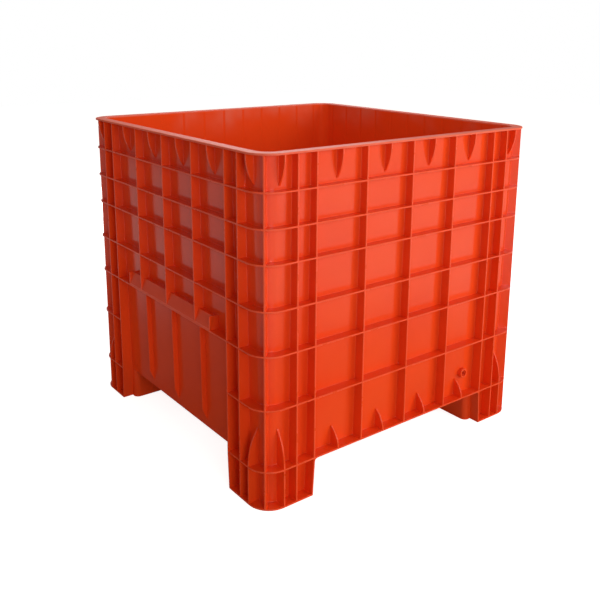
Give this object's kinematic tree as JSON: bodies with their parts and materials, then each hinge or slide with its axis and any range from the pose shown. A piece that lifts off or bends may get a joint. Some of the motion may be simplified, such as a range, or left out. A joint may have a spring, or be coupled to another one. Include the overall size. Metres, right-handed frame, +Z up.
{
  "type": "bulk container",
  "caption": "Square ribbed plastic bulk container with a flat rim, corner feet for fork entry on every side, tipping ledges and a screwed drain plug.",
  "frame": {"origin": "on the ground, at the centre of the footprint", "axes": "+Z up, -Y out of the front face with the drain, +X to the right as seen from the front"},
  "size_m": [1.1, 1.1, 1.03],
  "materials": {
    "tub_plastic": "glossy moulded polyethylene, orange red",
    "plug_plastic": "satin moulded polyethylene, orange red",
    "seal_rubber": "matt black"
  },
  "bodies": {
    "container": {"drain_boss": "tub_plastic", "floor_deck": "tub_plastic", "front_left_corner_ribs": "tub_plastic", "front_left_corner_wall": "tub_plastic", "front_left_foot_cup": "tub_plastic", "front_left_foot_ribs": "tub_plastic", "front_left_rim_corner": "tub_plastic", "front_level_ribs": "tub_plastic", "front_right_corner_ribs": "tub_plastic", "front_right_corner_wall": "tub_plastic", "front_right_foot_cup": "tub_plastic", "front_right_foot_ribs": "tub_plastic", "front_right_rim_corner": "tub_plastic", "front_rim": "tub_plastic", "front_rim_gussets": "tub_plastic", "front_upright_ribs": "tub_plastic", "front_wall": "tub_plastic", "left_front_lower_post": "tub_plastic", "left_level_ribs": "tub_plastic", "left_rear_lower_post": "tub_plastic", "left_recess_ribs": "tub_plastic", "left_rim": "tub_plastic", "left_rim_gussets": "tub_plastic", "left_tipping_lip": "tub_plastic", "left_upright_ribs": "tub_plastic", "left_wall": "tub_plastic", "rear_left_corner_ribs": "tub_plastic", "rear_left_corner_wall": "tub_plastic", "rear_left_foot_cup": "tub_plastic", "rear_left_foot_ribs": "tub_plastic", "rear_left_rim_corner": "tub_plastic", "rear_level_ribs": "tub_plastic", "rear_right_corner_ribs": "tub_plastic", "rear_right_corner_wall": "tub_plastic", "rear_right_foot_cup": "tub_plastic", "rear_right_foot_ribs": "tub_plastic", "rear_right_rim_corner": "tub_plastic", "rear_rim": "tub_plastic", "rear_rim_gussets": "tub_plastic", "rear_upright_ribs": "tub_plastic", "rear_wall": "tub_plastic", "right_front_lower_post": "tub_plastic", "right_level_ribs": "tub_plastic", "right_rear_lower_post": "tub_plastic", "right_recess_ribs": "tub_plastic", "right_rim": "tub_plastic", "right_rim_gussets": "tub_plastic", "right_tipping_lip": "tub_plastic", "right_upright_ribs": "tub_plastic", "right_wall": "tub_plastic", "underside_cross_ribs": "tub_plastic", "underside_long_ribs": "tub_plastic"},
    "drain_ring": {"drain_seal": "seal_rubber"},
    "drain_screw": {"drain_plug": "plug_plastic"}
  },
  "joints": [
    {"name": "drain_plug_travel", "type": "slide", "parent": "container", "child": "drain_ring", "axis": [0, -1, 0], "range_m": [0, 0.02]},
    {"name": "drain_plug_turn", "type": "hinge", "parent": "drain_ring", "child": "drain_screw", "pos_m": [0.304, -0.511, 0.196], "axis": [0, -1, 0], "range_deg": [0, 3960]}
  ],
  "couplings": [
    {"joint": "drain_plug_travel", "follows": "drain_plug_turn", "m_per_rad": 0.00028871}
  ]
}
